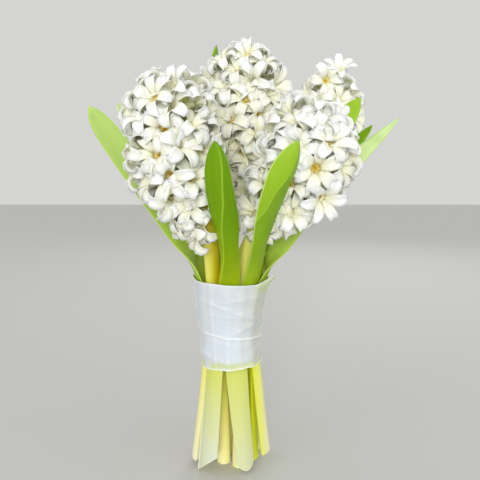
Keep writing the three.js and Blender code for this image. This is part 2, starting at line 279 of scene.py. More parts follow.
def petalMaterial():
    # Reach runs 0 at a tube's foot, 1 at its mouth, 2 at a lobe's tip, and throat is 1 deep in the
    # mouth. The colour pales from green to white along reach. It turns to cream in patches, and on
    # the lowest florets partly with age and partly as painted warm shade where the heads shade each
    # other. It is whiter on the tips, and whiter on the lobes' rims as a painted highlight, greener on
    # the outer ribs and amber in the throat.
    m = Nodes("waxyPetal")
    reach = m.attribute("reach")
    across = m.attribute("across")
    tone = m.attribute("tone")
    age = m.attribute("age")
    fromMiddle = m.maths("ABSOLUTE", across)
    colour = m.ramp(m.times(reach, 0.5), [
        (0.0, (0.84, 0.94, 0.12)),
        (0.2, (0.88, 0.94, 0.22)),
        (0.42, (0.94, 0.94, 0.48)),
        (0.56, (0.95, 0.94, 0.66)),
        (0.7, (0.95, 0.955, 0.81)),
        (0.84, (0.955, 0.965, 0.90)),
        (1.0, (0.94, 0.955, 0.93)),
    ])
    patches = m.times(m.between(m.noise(60), 0.42, 0.7), 0.5)
    # cream with age, and painted warm shade on the lowest florets, where the heads shade each other
    colour = m.blend(m.maths("MAXIMUM", patches, m.times(age, 0.9)), colour, (0.90, 0.885, 0.58))
    # painted highlight: the lobes' rims turn white, as edges that catch the light
    rim = m.times(m.between(fromMiddle, 0.55, 0.98), m.between(reach, 1.35, 1.75))
    drift = m.maths("SUBTRACT", m.times(tone, 0.3), m.times(age, 0.3))
    tip = m.between(m.maths("ADD", reach, drift), 1.55, 1.95)
    colour = m.blend(m.maths("MAXIMUM", rim, tip), colour, (0.945, 0.96, 0.945))
    rib = m.maths("SUBTRACT", 1.0, m.between(fromMiddle, 0.05, 0.4))
    rib = m.times(rib, m.between(reach, 1.9, 0.8), m.attribute("outside"), m.spanned(tone, 0.1, 0.6))
    colour = m.blend(rib, colour, (0.78, 0.86, 0.40))
    colour = m.blend(m.between(m.attribute("throat"), 0.1, 0.9), colour, (0.98, 0.82, 0.22))
    lines = m.noise(1.0, 2, at=m.point(m.times(across, 9.0), reach, tone))
    m.bump(m.maths("ADD", lines, m.times(m.noise(900, 2), 0.25)), 0.5, 0.0004)
    return m.set(Base_Color=colour, Roughness=0.45, Subsurface_Weight=0.3, Subsurface_Scale=0.004,
                 Subsurface_Radius=(1.0, 0.96, 0.62), Coat_Weight=0.06, Coat_Roughness=0.35,
                 Sheen_Weight=0.1)


def antherMaterial():
    # two ambers in a fine grain
    m = Nodes("amberAnther")
    colour = m.blend(m.between(m.noise(1500), 0.35, 0.65), (1.0, 0.80, 0.16), (0.93, 0.66, 0.06))
    m.bump(m.noise(3000), 0.4, 0.0002)
    return m.set(Base_Color=colour, Roughness=0.7)


def leafMaterial():
    # Across is -1 to 1 over the blade, along 0 to 1 up it, inside 1 on the upper face, and line is
    # where across the midline runs. The foot's ramp by height gives way to the blade's green above
    # the band, and each leaf's own shares lay pale, bloom, white and vivid colour over it. The pale
    # green is partly the leaf's own and partly painted light on leaves in shade, the vivid green is
    # partly the leaf's own and partly painted shade, and a lined leaf carries painted shade on one
    # side of its fold and a painted highlight along its midline.
    m = Nodes("strapLeaf")
    across = m.attribute("across")
    height = m.part("Z")
    foot = m.ramp(m.times(height, 1 / 0.16), [
        (0.0, (0.96, 0.93, 0.66)),
        (0.2, (0.95, 0.91, 0.42)),
        (0.45, (0.90, 0.88, 0.24)),
        (0.62, (0.56, 0.60, 0.03)),
        (0.85, (0.40, 0.48, 0.003)),
        (1.0, (0.32, 0.42, 0.001)),
    ])
    lit = m.blend(m.attribute("inside"), (0.145, 0.31, 0.001), (0.165, 0.34, 0.001))
    blade = m.blend(m.between(m.attribute("along"), 0.5, 1.0), (0.21, 0.34, 0.001), lit)
    colour = m.blend(m.between(height, 0.13, 0.185), foot, blade)
    # painted light: a paler green that lifts leaves lying in shade, over the leaf's own paler tone
    paleAndLit = m.times(m.attribute("paleAndLit"), m.between(height, 0.11, 0.14))
    colour = m.blend(paleAndLit, colour, (0.42, 0.66, 0.04))
    colour = m.blend(m.attribute("bloom"), colour, (0.62, 0.76, 0.42))
    white = m.maths("MULTIPLY_ADD", m.between(m.noise(16, 2), 0.42, 0.66), 0.5, 0.5)
    white = m.times(white, m.attribute("white"), m.between(height, 0.075, 0.01))
    colour = m.blend(white, colour, (0.96, 0.96, 0.92))
    # a saturated green low on the foot: partly the leaf's own colour, partly painted shade on the side in
    # shadow
    vividAndShade = m.times(m.between(height, 0.1, 0.08), m.attribute("vividAndShade"), 0.95)
    colour = m.blend(vividAndShade, colour, (0.66, 0.72, 0.003))
    # long fine veins, and soft blotches
    veins = m.noise(1.0, at=m.point(m.times(across, 14.0), m.times(height, 18.0)))
    colour = m.blend(m.times(m.between(veins, 0.45, 0.7), 0.14), colour, (0.42, 0.56, 0.05))
    blotches = m.times(m.between(m.noise(45, 4), 0.5, 0.72), m.between(height, 0.1, 0.16), 0.22)
    colour = m.blend(blotches, colour, (0.12, 0.26, 0.0))
    # painted shade and highlight: a lined leaf is darker on the side of its fold that lies in shadow,
    # and its midline is painted pale as a highlight on the fold
    lined = m.attribute("lined")
    fromLine = m.maths("SUBTRACT", across, m.attribute("line"))
    shaded = m.times(m.between(fromLine, 0.02, -0.1), 0.35, lined)
    colour = m.blend(shaded, colour, (0.09, 0.24, 0.0))
    midlineHighlight = m.between(m.maths("ABSOLUTE", fromLine), 0.09, 0.02)
    midlineHighlight = m.times(midlineHighlight, m.between(height, 0.13, 0.15), 0.6, lined)
    colour = m.blend(midlineHighlight, colour, (0.38, 0.60, 0.05))
    margin = m.times(m.between(m.maths("ABSOLUTE", across), 0.93, 0.99), m.between(height, 0.1, 0.19))
    colour = m.blend(m.times(margin, m.attribute("rim")), colour, (0.58, 0.74, 0.22))
    colour = m.blend(m.attribute("cut"), colour, (0.82, 0.84, 0.60))
    m.bump(m.maths("ADD", veins, m.times(m.noise(400, 2), 0.3)), 0.35, 0.0005)
    return m.set(Base_Color=colour, Roughness=0.42, Specular_IOR_Level=0.14, Subsurface_Weight=0.04,
                 Subsurface_Scale=0.003)


def stemMaterial():
    # a ramp by height, with amber painted shade above the waist on the side away from the light, and
    # long upright streaks
    m = Nodes("paleStem")
    height = m.part("Z")
    colour = m.ramp(m.times(height, 1 / 0.3), [
        (0.0, (0.98, 0.92, 0.46)),
        (0.14, (0.98, 0.92, 0.24)),
        (0.25, (0.88, 0.88, 0.06)),
        (0.46, (0.84, 0.85, 0.17)),
        (0.58, (0.88, 0.90, 0.22)),
        (0.72, (0.74, 0.82, 0.22)),
        (1.0, (0.80, 0.88, 0.30)),
    ])
    # painted shade: warm amber on the stem's side away from the light
    amberShade = m.times(m.attribute("amberShade"), m.between(height, 0.1, 0.14))
    colour = m.blend(amberShade, colour, (0.52, 0.44, 0.003))
    streaks = m.times(m.between(m.noise(60, stretch=(1, 1, 0.12)), 0.5, 0.7), 0.35)
    colour = m.blend(streaks, colour, (0.56, 0.50, 0.02))
    colour = m.blend(m.attribute("cut"), colour, (0.80, 0.84, 0.56))
    m.bump(m.noise(300, stretch=(1, 1, 0.1)), 0.3, 0.0005)
    return m.set(Base_Color=colour, Roughness=0.42, Specular_IOR_Level=0.25, Subsurface_Weight=0.08,
                 Subsurface_Scale=0.004)


def bandMaterial():
    # bluish white in soft clouds, greyer and darker towards the right as painted shade away from the
    # light, greenish where the foot shows through at the lower hem and on the turned-up corner, and
    # whiter on the double hems, partly their own double layer and partly a painted highlight
    m = Nodes("sheerTape")
    colour = m.blend(m.between(m.noise(28), 0.35, 0.7), (0.64, 0.70, 0.77), (0.64, 0.67, 0.69))
    # painted shade: greyer and darker towards the right, away from the light
    colour = m.blend(m.between(m.part("X"), -0.012, 0.016), colour, (0.56, 0.58, 0.51))
    lowHem = m.between(m.part("Z"), 0.0835, 0.079)
    greenish = m.times(lowHem, m.between(m.noise(110), 0.3, 0.55), 0.9)
    colour = m.blend(greenish, colour, (0.58, 0.66, 0.28))
    colour = m.blend(m.attribute("flap"), colour, (0.56, 0.62, 0.36))
    # whiter hems: partly the double layer's own colour, partly a painted highlight along the edges
    colour = m.blend(m.attribute("hem"), colour, (0.88, 0.89, 0.88))
    weave = m.times(m.noise(1600, 2), 0.12)
    m.bump(m.maths("ADD", m.noise(90), weave), 0.6, 0.0012)
    return m.set(Base_Color=colour, Roughness=0.36, Subsurface_Weight=0.1, Subsurface_Scale=0.002,
                 Sheen_Weight=0.5, Sheen_Roughness=0.25, Coat_Weight=0.08, Coat_Roughness=0.25)


petal = petalMaterial()
anther = antherMaterial()
leafGreen = leafMaterial()
stemGreen = stemMaterial()
tape = bandMaterial()
print("stage: materials made")


# stems

# The rachis is the stem's upper end, inside the florets. Girth holds shares of the head's radius at
# even places from its foot to its top, pull is the way that the lowest florets hang, and the age
# share turns florets cream, the lowest most, partly for their age and partly as painted warm shade
# where the heads shade each other. Florets stay behind the leaves listed in behind.
flowers = {
    "left": {
        "stem": [[-6, -2, 0], [-9, -5, 95], [-12, -14, 138], [-13, -20, 158], [-15, -25, 180]],
        "rachis": [[-15, -25, 180], [-33, -27, 213], [-39, -24, 247]],
        "radius": 30.6, "florets": 58, "girth": [0.42, 0.66, 0.86, 1.0, 0.86], "pull": [-0.9, 0, -1.0],
        "size": 1.0, "age": 0.45, "amberShade": 1.0, "behind": ["front"], "seed": 3,
    },
    "right": {
        "stem": [[5, -7, 0], [7, -8, 95], [8.5, -9, 138], [11.5, -13, 156], [15.5, -19, 170],
                 [22, -25, 182]],
        "rachis": [[22, -25, 182], [43, -28, 205], [49, -25, 229]],
        "radius": 28.8, "florets": 51, "girth": [0.42, 0.6, 0.84, 1.0, 0.95], "pull": [0.15, -0.1, -0.55],
        "size": 1.0, "age": 0.5, "amberShade": 0.15, "behind": ["front_right"], "seed": 8,
    },
    "centre": {
        "stem": [[-5, 11, 0], [-3, 6, 95], [3, 4, 138], [16, 12, 170], [15, 22, 203]],
        "rachis": [[15, 22, 203], [11, 32, 240], [9, 37, 279]],
        "radius": 30.6, "florets": 60, "girth": [0.6, 0.85, 1.0, 0.98, 0.84], "pull": [-0.2, -0.9, -0.35],
        "size": 1.0, "age": 1.0, "amberShade": 0.15, "behind": ["front", "front_right"], "seed": 21,
    },
    "back": {
        "stem": [[9, 8, 0], [9, 4, 95], [8, 16, 138], [30, 36, 172], [64, 42, 215]],
        "rachis": [[64, 42, 215], [73, 44, 243], [74, 44, 271]],
        "radius": 23.5, "florets": 31, "girth": [0.6, 0.9, 1.0, 0.95, 0.85], "pull": [0.3, 0, -0.2],
        "size": 0.92, "age": 1.0, "amberShade": 0.15, "behind": [], "seed": 34,
    },
}
stemSize = {
    "radii": [5.0, 4.7, 5.4, 1.6],  # at the cut end, the waist, the head's foot and the tip
    "rib": 0.03, "ribs": 5, "rows": 60, "ring": 20,
    "level": 12,  # how far up the rings turn from level to square with the stem
    "shadedSide": math.radians(60),  # from the front towards the right
}


def stemShape(flower):
    # Rings round the curve from the cut end to the head's foot, and on up inside the florets as
    # the rachis. A ring's radius is radius * (1 + rib * cos(ribs * turn) + rib * wobble).
    size = stemSize
    curve = np.vstack([curveThrough(flower["stem"])[:-1], curveThrough(flower["rachis"])])
    share = np.r_[0, np.linspace(0, 1, size["rows"])]
    centre, tangent = alongCurve(curve, share)
    z = centre[:, 2:]
    heights = [0, waistHeight, flower["stem"][-1][2], flower["rachis"][-1][2]]
    level = smooth((z - z[0]) / size["level"])
    side, front = frameAcross(unit(mix(toTop, tangent, level)), toFront)
    turn = np.arange(size["ring"]) * 2 * math.pi / size["ring"]
    uneven = size["rib"] * np.cos(size["ribs"] * turn) + size["rib"] * wobble(7, turn, share[:, None] * 9)
    r = np.interp(z, heights, size["radii"]) * (1 + uneven)
    points = centre[:, None] + side[:, None] * (r * np.sin(turn))[..., None]
    points = points + front[:, None] * (r * np.cos(turn))[..., None]
    points[1, :, 2] += cutLip
    # the amber painted shade, strongest on the side away from the light
    amberShade = flower["amberShade"] * smooth(0.2 + 0.9 * np.cos(turn - size["shadedSide"]))
    values = {"cut": np.arange(r.size) < size["ring"], "amberShade": np.tile(amberShade, len(share))}
    return points.reshape(-1, 3), shellFaces(*r.shape), values


for name, flower in flowers.items():
    makePiece(f"scape_{name}", stemShape(flower), stemGreen, [f"stem_{name}"], sharp=50)
print("stage: stems made")


# leaves

# Angle and radius place the leaf about the tie's axis at the foot, the waist and the collar, neck
# is its width there, and blade its points above. It turns from facing inwards to its own face
# between the two heights of turn. Line is the midline as heights and places across, and pale,
# rim, bloom, white and vivid are how much of those colours lies over its green. The pale green is
# partly the leaf's own paler tone and partly painted light on leaves in shade, and the vivid green
# is partly the leaf's own and partly painted shade on the side that lies in shadow.
leaves = {
    "left": {
        "angle": [184, 196, 190], "radius": [30, 20, 25.5], "neck": [15, 13, 15],
        "blade": [[-44, 6, 172], [-71, 12, 211], [-100, 10, 254]],
        "width": 20.5, "face": [0.55, -0.75, 0.35], "turn": [133, 172], "cut": [4.5, 0, 0],
        "paleAndLit": 0.8, "rim": 0.9, "bloom": 0.4, "seed": 4,
    },
    "front": {
        "angle": [228, 236, 267], "radius": [29, 20, 25], "neck": [18, 14.6, 14.3],
        "blade": [[-2, -38, 170], [-7, -52, 200], [-9, -59, 227]],
        "width": 17.6, "face": [0.1, 1, 0.2], "turn": [138, 227], "cut": [7.5, -7.5, 0],
        "line": [[145, 0.79], [175, 0.41], [191, -0.14], [211, -0.45], [224, -0.58]],
        "dip": [2.6, 160], "paleAndLit": 0.0, "white": 1.0, "seed": 5,
    },
    "front_right": {
        "angle": [300, 279.5, 305], "radius": [22.5, 20, 25.5], "neck": [13.6, 15, 13],
        "blade": [[20.4, -39, 170], [29.4, -58, 203], [39.5, -65, 226.5]],
        "width": 18.5, "face": [-0.5, 1, 0.3], "turn": [138, 226], "cut": [2.5, 0, 5],
        "line": [[178, 1.1], [188, 0.48], [199, 0.23], [209, -0.33], [226, -0.5]],
        "dip": [3.6, 170], "paleAndLit": 0.42, "rim": 0.9, "seed": 11,
    },
    "right": {
        "angle": [341, 334, 347], "radius": [29.5, 20, 25.5], "neck": [15, 13, 16],
        "blade": [[43.5, 4, 171.5], [75, 8, 207], [117, 10, 247]],
        "width": 21, "face": [-0.3, -0.85, 0.4], "turn": [131, 168], "cut": [12, 0, 0],
        "tip": 45, "paleAndLit": 0.8, "rim": 0.7, "bloom": 0.8, "vividAndShade": [-0.7, 0.75], "seed": 5,
    },
    "right_inner": {
        "angle": [45, 46, 33], "radius": [29, 20, 25.5], "neck": [14, 12.5, 11],
        "blade": [[31, 25.5, 182], [62, 14, 222], [89, 9, 260]],
        "width": 18, "face": [-0.3, -1, 0.2], "turn": [138, 230],
        "paleAndLit": 0.4, "seed": 11,
    },
    "right_low": {
        "angle": [336, 355, 4], "radius": [20.5, 16, 17.2], "neck": [12.5, 8, 8],
        "blade": [[39.5, 15, 173], [73, 18, 213], [102, 24, 242]],
        "width": 11, "face": [-0.5, -0.8, 0.5], "turn": [130, 210], "cut": [6, 0, 0],
        "paleAndLit": 0.0, "vividAndShade": [1, 1], "seed": 9,
    },
    "back": {
        "angle": [100, 97, 104], "radius": [27, 20, 25.5], "neck": [15, 13, 15],
        "blade": [[-15, 40, 190], [-21, 58, 250], [-15, 64, 309]],
        "width": 18, "face": [1, -0.25, 0.1], "turn": [138, 230],
        "paleAndLit": 0.2, "seed": 4,
    },
    "left_back": {
        "angle": [142, 147, 146], "radius": [27, 20, 25.5], "neck": [15, 13, 15],
        "blade": [[-42, 24, 178], [-66, 32, 218], [-86, 31, 259]],
        "width": 18, "face": [0.7, -0.5, 0.4], "turn": [120, 190],
        "paleAndLit": 0.3, "bloom": 0.9, "seed": 9,
    },
}
plainLeaf = {  # what a leaf has where its own entry says nothing
    "cut": [0, 0, 0],  # the cut end's height, its rise to the left as seen from outside, and to both edges
    "dip": [0, 160],  # how much narrower the blade is just above the collar, and at what height
    "tip": 9.0,  # length over which the tip narrows
    "line": None, "rim": 0.35, "bloom": 0.0, "white": 0.15,
    "vividAndShade": [0, 0],  # at the right edge and at the left, as seen from outside
}
leafSize = {
    "rows": 90, "columns": 17, "crowding": 1.2,  # rows stand closer towards the tip
    "footThickness": 5.0, "bladeThickness": 2.4, "edgeThickness": 0.6,
    "thinUnder": [8, 5],  # narrower than this, the leaf thins in the middle, and at the edge
    "dipSpread": 17, "waver": 0.02,
    "channel": 0.14,  # rise of the edges, in widths
    "keel": 0.14,  # the fold along the midline
    "hood": [0.16, 7],  # the tip is drawn up like a boat's bow: how much, and over what length
    "curl": [2.5, 5],  # and it curls towards the upper face, in the same way
    "sunk": 0.12,  # the curve starts this far under the foot, as a share of the way to the waist
}


def leafCurve(leaf):
    # polar places about the tie's axis, then the blade's points, with a start under the foot
    polar = np.radians(leaf["angle"])
    heights = [0, waistHeight, collarHeight]
    held = np.stack([leaf["radius"] * np.cos(polar), leaf["radius"] * np.sin(polar), heights], -1)
    through = np.vstack([held, leaf["blade"]])
    start = through[0] - leafSize["sunk"] * (through[1] - through[0])
    return curveThrough(np.vstack([start, through]))


def leafWidth(leaf, share, z, free, fromTip):
    # the neck's width up to the collar, then the blade's own, less a bell-shaped dip; it narrows to
    # the tip by 1 - exp(-length to the tip / tip) and wavers a little
    below = [0, 10, 30, 50, 70]  # heights where the neck eases from the foot to the waist
    neck = [mix(leaf["neck"][0], leaf["neck"][1], smooth(q / waistHeight)) for q in below]
    held = np.interp(z, below + [waistHeight, collarHeight], neck + leaf["neck"][1:])
    width = mix(held, leaf["width"], smooth(free * 2) * (z > collarHeight))
    dip, dipHeight = leaf["dip"]
    width = width - dip * np.exp(-(((z - dipHeight) / leafSize["dipSpread"]) ** 2))
    width = width * (1 - np.exp(-(fromTip + 0.5) / leaf["tip"]))
    return width * (1 + leafSize["waver"] * wobble(leaf["seed"], share * 12))


def leafShape(leaf):
    # The blade is carried up its curve. Across it, the edges rise by channel * width * x^2 and the
    # thickness falls from the middle to the edge by 1 - |x|^2.6. A lined leaf is folded by keel *
    # width * (a rounded |x - line| - 0.5). The facing turns from inwards at the band to the leaf's
    # own way at the tip.
    size = leafSize
    curve = leafCurve(leaf)
    x = np.linspace(1, -1, size["columns"])
    ringX = np.r_[x, x[::-1]]
    upper = np.r_[np.zeros(len(x)), np.ones(len(x))]
    # each column starts where it meets the cut, which slants across the leaf
    foot = np.clip(leaf["cut"][0] + leaf["cut"][1] * ringX + leaf["cut"][2] * ringX**2, 0, None)
    fine = np.linspace(0, 1, 400)
    startShare = np.interp(foot, alongCurve(curve, fine)[0][:, 2], fine)
    grow = np.r_[0, 1 - (1 - np.linspace(0, 1, size["rows"])) ** size["crowding"]][:, None]
    share = startShare + (1 - startShare) * grow
    fromTip = curveLength(curve) * (1 - share)

    centre, tangent = alongCurve(curve, share)
    z = centre[..., 2]
    free = smooth((z - collarHeight) / (leaf["blade"][-1][2] - collarHeight))
    inward = unit(np.stack([tieAxis[0] - centre[..., 0], tieAxis[1] - centre[..., 1], 0 * z], -1))
    turned = smooth((z - leaf["turn"][0]) / (leaf["turn"][1] - leaf["turn"][0]))
    facing = mix(inward, unit(np.array(leaf["face"], float)), turned[..., None])
    side, front = frameAcross(tangent, facing)

    width = leafWidth(leaf, share, z, free, fromTip)
    thick = mix(size["footThickness"], size["bladeThickness"], smooth(z / collarHeight))
    thick = thick * np.clip(width / size["thinUnder"][0], 0.12, 1) * (1 - np.abs(ringX) ** 2.6)
    thick = thick + size["edgeThickness"] * np.clip(width / size["thinUnder"][1], 0.15, 1)
    hood = size["hood"][0] * np.exp(-fromTip / size["hood"][1])
    lift = (size["channel"] + hood) * width * ringX**2
    lined = float(leaf["line"] is not None)
    line = np.interp(z, *np.array(leaf["line"] or [[0, 0]]).T)
    fold = np.sqrt((ringX - line) ** 2 + 0.02) - 0.5
    lift = lift + lined * size["keel"] * width * free * fold
    curl = size["curl"][0] * np.exp(-fromTip / size["curl"][1])
    curl = curl + 0.5 * free * wobble(leaf["seed"] + 3, share * 9, ringX)
    points = centre + side * (ringX * width / 2)[..., None] + front * (lift + upper * thick)[..., None]
    points = points + front * curl[..., None]

    # the first two rows lie in the cut, and each later one stands at least a step above it
    row = np.arange(len(grow))[:, None]
    level = np.where(row > 1, np.maximum(points[..., 2], foot + 0.1 * row), foot + cutLip * row)
    points[0] = points[1]
    points[..., 2] = level
    values = {
        "across": ringX, "along": grow, "inside": upper, "cut": row == 0, "line": line, "lined": lined,
        "white": leaf["white"], "vividAndShade": np.clip(np.interp(ringX, [-1, 1], leaf["vividAndShade"]), 0, 1),
        "paleAndLit": np.clip(leaf["paleAndLit"] * (0.4 + 0.9 * grow), 0, 1), "rim": leaf["rim"],
        "bloom": leaf["bloom"] * smooth(grow * 1.6 - 0.6),
    }
    values = {k: np.broadcast_to(v, share.shape).ravel() for k, v in values.items()}
    return points, shellFaces(*share.shape), values


leafBacks = {}  # for each leaf, its rows' heights, middle x, half width and back y, above the cut

for name, leaf in leaves.items():
    grid, faces, values = leafShape(plainLeaf | leaf)
    makePiece(f"blade_{name}", (grid.reshape(-1, 3), faces, values), leafGreen, [f"leaf_{name}"],
              sharp=60)
    low, high = grid.min(axis=1), grid.max(axis=1)
    middle, half = (low[:, 0] + high[:, 0]) / 2, (high[:, 0] - low[:, 0]) / 2
    leafBacks[name] = np.stack([grid[..., 2].mean(axis=1), middle, half, high[:, 1]])[:, 2:]
print("stage: leaves made")


# flower heads

floret = {
    "lobeLength": 20.0, "lobeHalfWidth": 3.9, "lobeThickness": 0.95,
    "mouthRadius": 2.6, "mouthDrop": 3.2, "tubeLength": 12.0,
    "beyondMouth": 4.6,  # how far the lobes arch past the mouth
    "rootBelow": 6, "rootOut": 2.0,  # a stalk's foot is this far down the rachis, and out from it
    "tilt": 0.3,  # how far a floret leans off its own line, as a tangent
    "droop": math.radians(28),  # the lowest florets point this far down
    "startAngle": math.radians(12),  # of a lobe at the mouth, from the floret's axis
    "curl": 226, "curlSpread": 38, "curlFall": 35,  # a lobe's turn at its tip in degrees, less at the top
    "rankTurn": 0.15, "lobeTurn": 0.35,  # radians: every other lobe curls more, and each is uneven
    "sizeFall": 0.14, "sizeRange": (0.93, 1.07),  # smaller at the top of the head, and uneven
    "lengthRange": (0.92, 1.06), "widthRange": (0.88, 1.08), "channelRange": (0.5, 1.4),
    "sweep": 1.3,  # how far a lobe's tip bends to one side
    "unevenOut": 1.3, "unevenAlong": 1.6, "unevenTurn": 0.1,  # how far off its even place each stands
    "rows": 9, "columns": 5, "tubeRing": 12,
}
leafRoom = {
    "mouth": 9.0, "petal": 0.8,  # what mouths and petals keep behind a front leaf
    "beside": 4, "above": 3, "fade": 4,  # how far past its edges that reaches, and how softly it ends
    "ease": 8,  # how soon a point that was further forward comes close to the leaf
}


def clearLeaves(points, margin, behind):
    # a point within a front leaf's width that is ahead of its back + margin is drawn back to
    # y = back + margin * exp(-how far ahead it was / ease)
    x, y, z = (points[..., k] for k in range(3))
    room = leafRoom
    for height, middle, half, back in (leafBacks[name] for name in behind):
        within = np.interp(z, height, half) + room["beside"] - np.abs(x - np.interp(z, height, middle))
        under = height[-1] + room["above"] - z
        near = smooth(within / room["fade"]) * smooth(under / room["fade"])
        ahead = np.interp(z, height, back) + margin - y
        slack = margin * np.exp(-np.maximum(ahead, 0) / room["ease"]) - margin
        y = np.where(ahead > 0, y + near * (ahead + slack), y)
    return np.stack([x, y, z], -1)


def floretSpots(flower, draw):
    # Florets share out the skin of a capsule round the rachis evenly, each turned by the golden
    # angle from the last, and each a little off its place. Returns their roots and mouths, their
    # shares along the rachis, and how far each stands over its end.
    rachis = curveThrough(flower["rachis"])
    length = curveLength(rachis)
    radius = flower["radius"] - floret["beyondMouth"]
    girthAt = np.linspace(0, 1, len(flower["girth"]))
    # from the lowest ring over the body to the pole: place along, rise over the ends, and area
    steps = np.linspace(0, 1, 80)
    lay = np.r_[0 * steps, steps, 0 * steps + 1]
    rise = np.r_[(steps - 1) * math.sin(floret["droop"]), 0 * steps, steps]
    girth = radius * np.interp(lay, girthAt, flower["girth"])
    skin = np.cumsum(np.r_[0, (np.diff(rise) * girth[1:] + np.diff(lay) * length) * girth[1:]])
    k = np.arange(flower["florets"])
    share = skin[-1] * (k + 0.5) / len(k)
    along, over = np.interp(share, skin, lay), np.interp(share, skin, rise)
    reach = radius * np.interp(along, girthAt, flower["girth"])
    reach = reach + draw.normal(0, floret["unevenOut"], len(k))
    along = np.clip(along + draw.normal(0, floret["unevenAlong"], len(k)) / length, 0, 1)
    centre, tangent = alongCurve(rachis, along)
    side, front = frameAcross(tangent, toFront)
    turn = goldenAngle * k + draw.normal(0, floret["unevenTurn"], len(k))
    flat = np.sqrt(1 - np.clip(over, -1, 1) ** 2)
    out = side * (flat * np.sin(turn))[:, None] + front * (flat * np.cos(turn))[:, None]
    out = out + tangent * over[:, None]
    out = unit(out + np.array(flower["pull"]) * ((1 - along) ** 2)[:, None])
    mouth = clearLeaves(centre + out * reach[:, None], leafRoom["mouth"], flower["behind"])
    root, _ = alongCurve(rachis, np.maximum(0, along - floret["rootBelow"] / length))
    return root, mouth, along, np.maximum(over, 0)


def placed(local, root, mouth, lean, roll, stalk):
    # local (F, ..., 3) points, with z along the floret's axis and z = 0 at its mouth, put in place.
    # The axis leans by the given vector at the mouth and is straight from the root at the stalk.
    straight = unit(mouth - root)
    axis = unit(straight + lean)
    facing = np.where(np.abs(axis[:, 2:]) > 0.9, toFront, toTop)
    side, front = frameAcross(axis, facing)
    c, s = np.cos(roll)[:, None], np.sin(roll)[:, None]
    east, north = front * c + side * s, side * c - front * s
    shape = (len(root),) + (1,) * (local.ndim - 2) + (3,)
    lone = shape[:-1] + (1,)
    low = smooth(-local[..., 2:] / stalk.reshape(lone))
    along = mix(axis.reshape(shape), straight.reshape(shape), low)
    return (mouth.reshape(shape) + local[..., :1] * east.reshape(shape)
            + local[..., 1:2] * north.reshape(shape) + local[..., 2:] * along)


def turnedRound(x, y, z, turn):
    # x cos - y sin and x sin + y cos, once for each turn about the floret's axis
    c, s = np.cos(turn)[:, None, None], np.sin(turn)[:, None, None]
    return np.stack(np.broadcast_arrays(x * c - y * s, x * s + y * c, z), -1)


def lobes(size, curl, draw):
    # Each lobe is carried along an arc: its direction turns from nearly upright at the mouth to
    # past flat at the tip. Across it, the edges rise by channel * width * x^2, and the back lies
    # one thickness behind the face. Shapes are (florets, lobes, rows, ring, 3).
    f, rows, columns = floret, floret["rows"], floret["columns"]
    count = len(size)
    s = np.linspace(0, 1, rows) ** 0.9
    start = f["startAngle"]
    rank = np.where(np.arange(6) % 2, f["rankTurn"], -f["rankTurn"])
    end = curl[:, None] + draw.normal(0, f["lobeTurn"], (count, 6)) + rank
    angle = start + (end[..., None] - start) * (0.45 * s + 0.55 * s**2.2)
    length = (f["lobeLength"] * size)[:, None] * draw.uniform(*f["lengthRange"], (count, 6))
    step = np.diff(s) * length[..., None]
    middle = (angle[..., 1:] + angle[..., :-1]) / 2
    zero = np.zeros((count, 6, 1))
    r = np.concatenate([zero, np.cumsum(np.sin(middle) * step, -1)], -1)
    r = f["mouthRadius"] * size[:, None, None] * 0.85 + r
    z = np.concatenate([zero, np.cumsum(np.cos(middle) * step, -1)], -1) - f["mouthDrop"]
    # a lobe's own outline and channel, and its bend to one side
    half = np.interp(s, [0, 0.2, 0.5, 0.72, 0.88, 0.96, 1], [0.42, 0.66, 1.0, 0.97, 0.64, 0.36, 0.1])
    half = f["lobeHalfWidth"] * half * size[:, None, None]
    half = half * draw.uniform(*f["widthRange"], (count, 6, 1))
    channel = np.interp(s, [0, 0.4, 0.8, 1], [0.35, 0.3, 0.5, 0.6])
    channel = channel * draw.uniform(*f["channelRange"], (count, 6, 1))
    sweep = draw.normal(0, f["sweep"], (count, 6, 1)) * s**2
    x = np.linspace(1, -1, columns)
    thin = np.interp(s, [0, 0.85, 1], [1, 0.9, 0.4])[:, None]
    thick = f["lobeThickness"] * (1 - 0.62 * x**2) * thin

    ringX, ringThick = np.r_[x, x[::-1]], np.hstack([thick, 0 * thick])
    lift = (channel * half)[..., None] * ringX**2 - ringThick
    ring = turnedRound(
        r[..., None] - np.cos(angle)[..., None] * lift, half[..., None] * ringX + sweep[..., None],
        z[..., None] + np.sin(angle)[..., None] * lift, np.arange(6) * math.pi / 3)
    inner = np.repeat([0.0, 1.0], columns)
    values = {
        "reach": 1 + s[:, None], "across": ringX, "outside": 1 - inner,
        "throat": 0.55 * np.clip(1 - s / 0.16, 0, 1)[:, None] * inner,
    }
    return ring, values


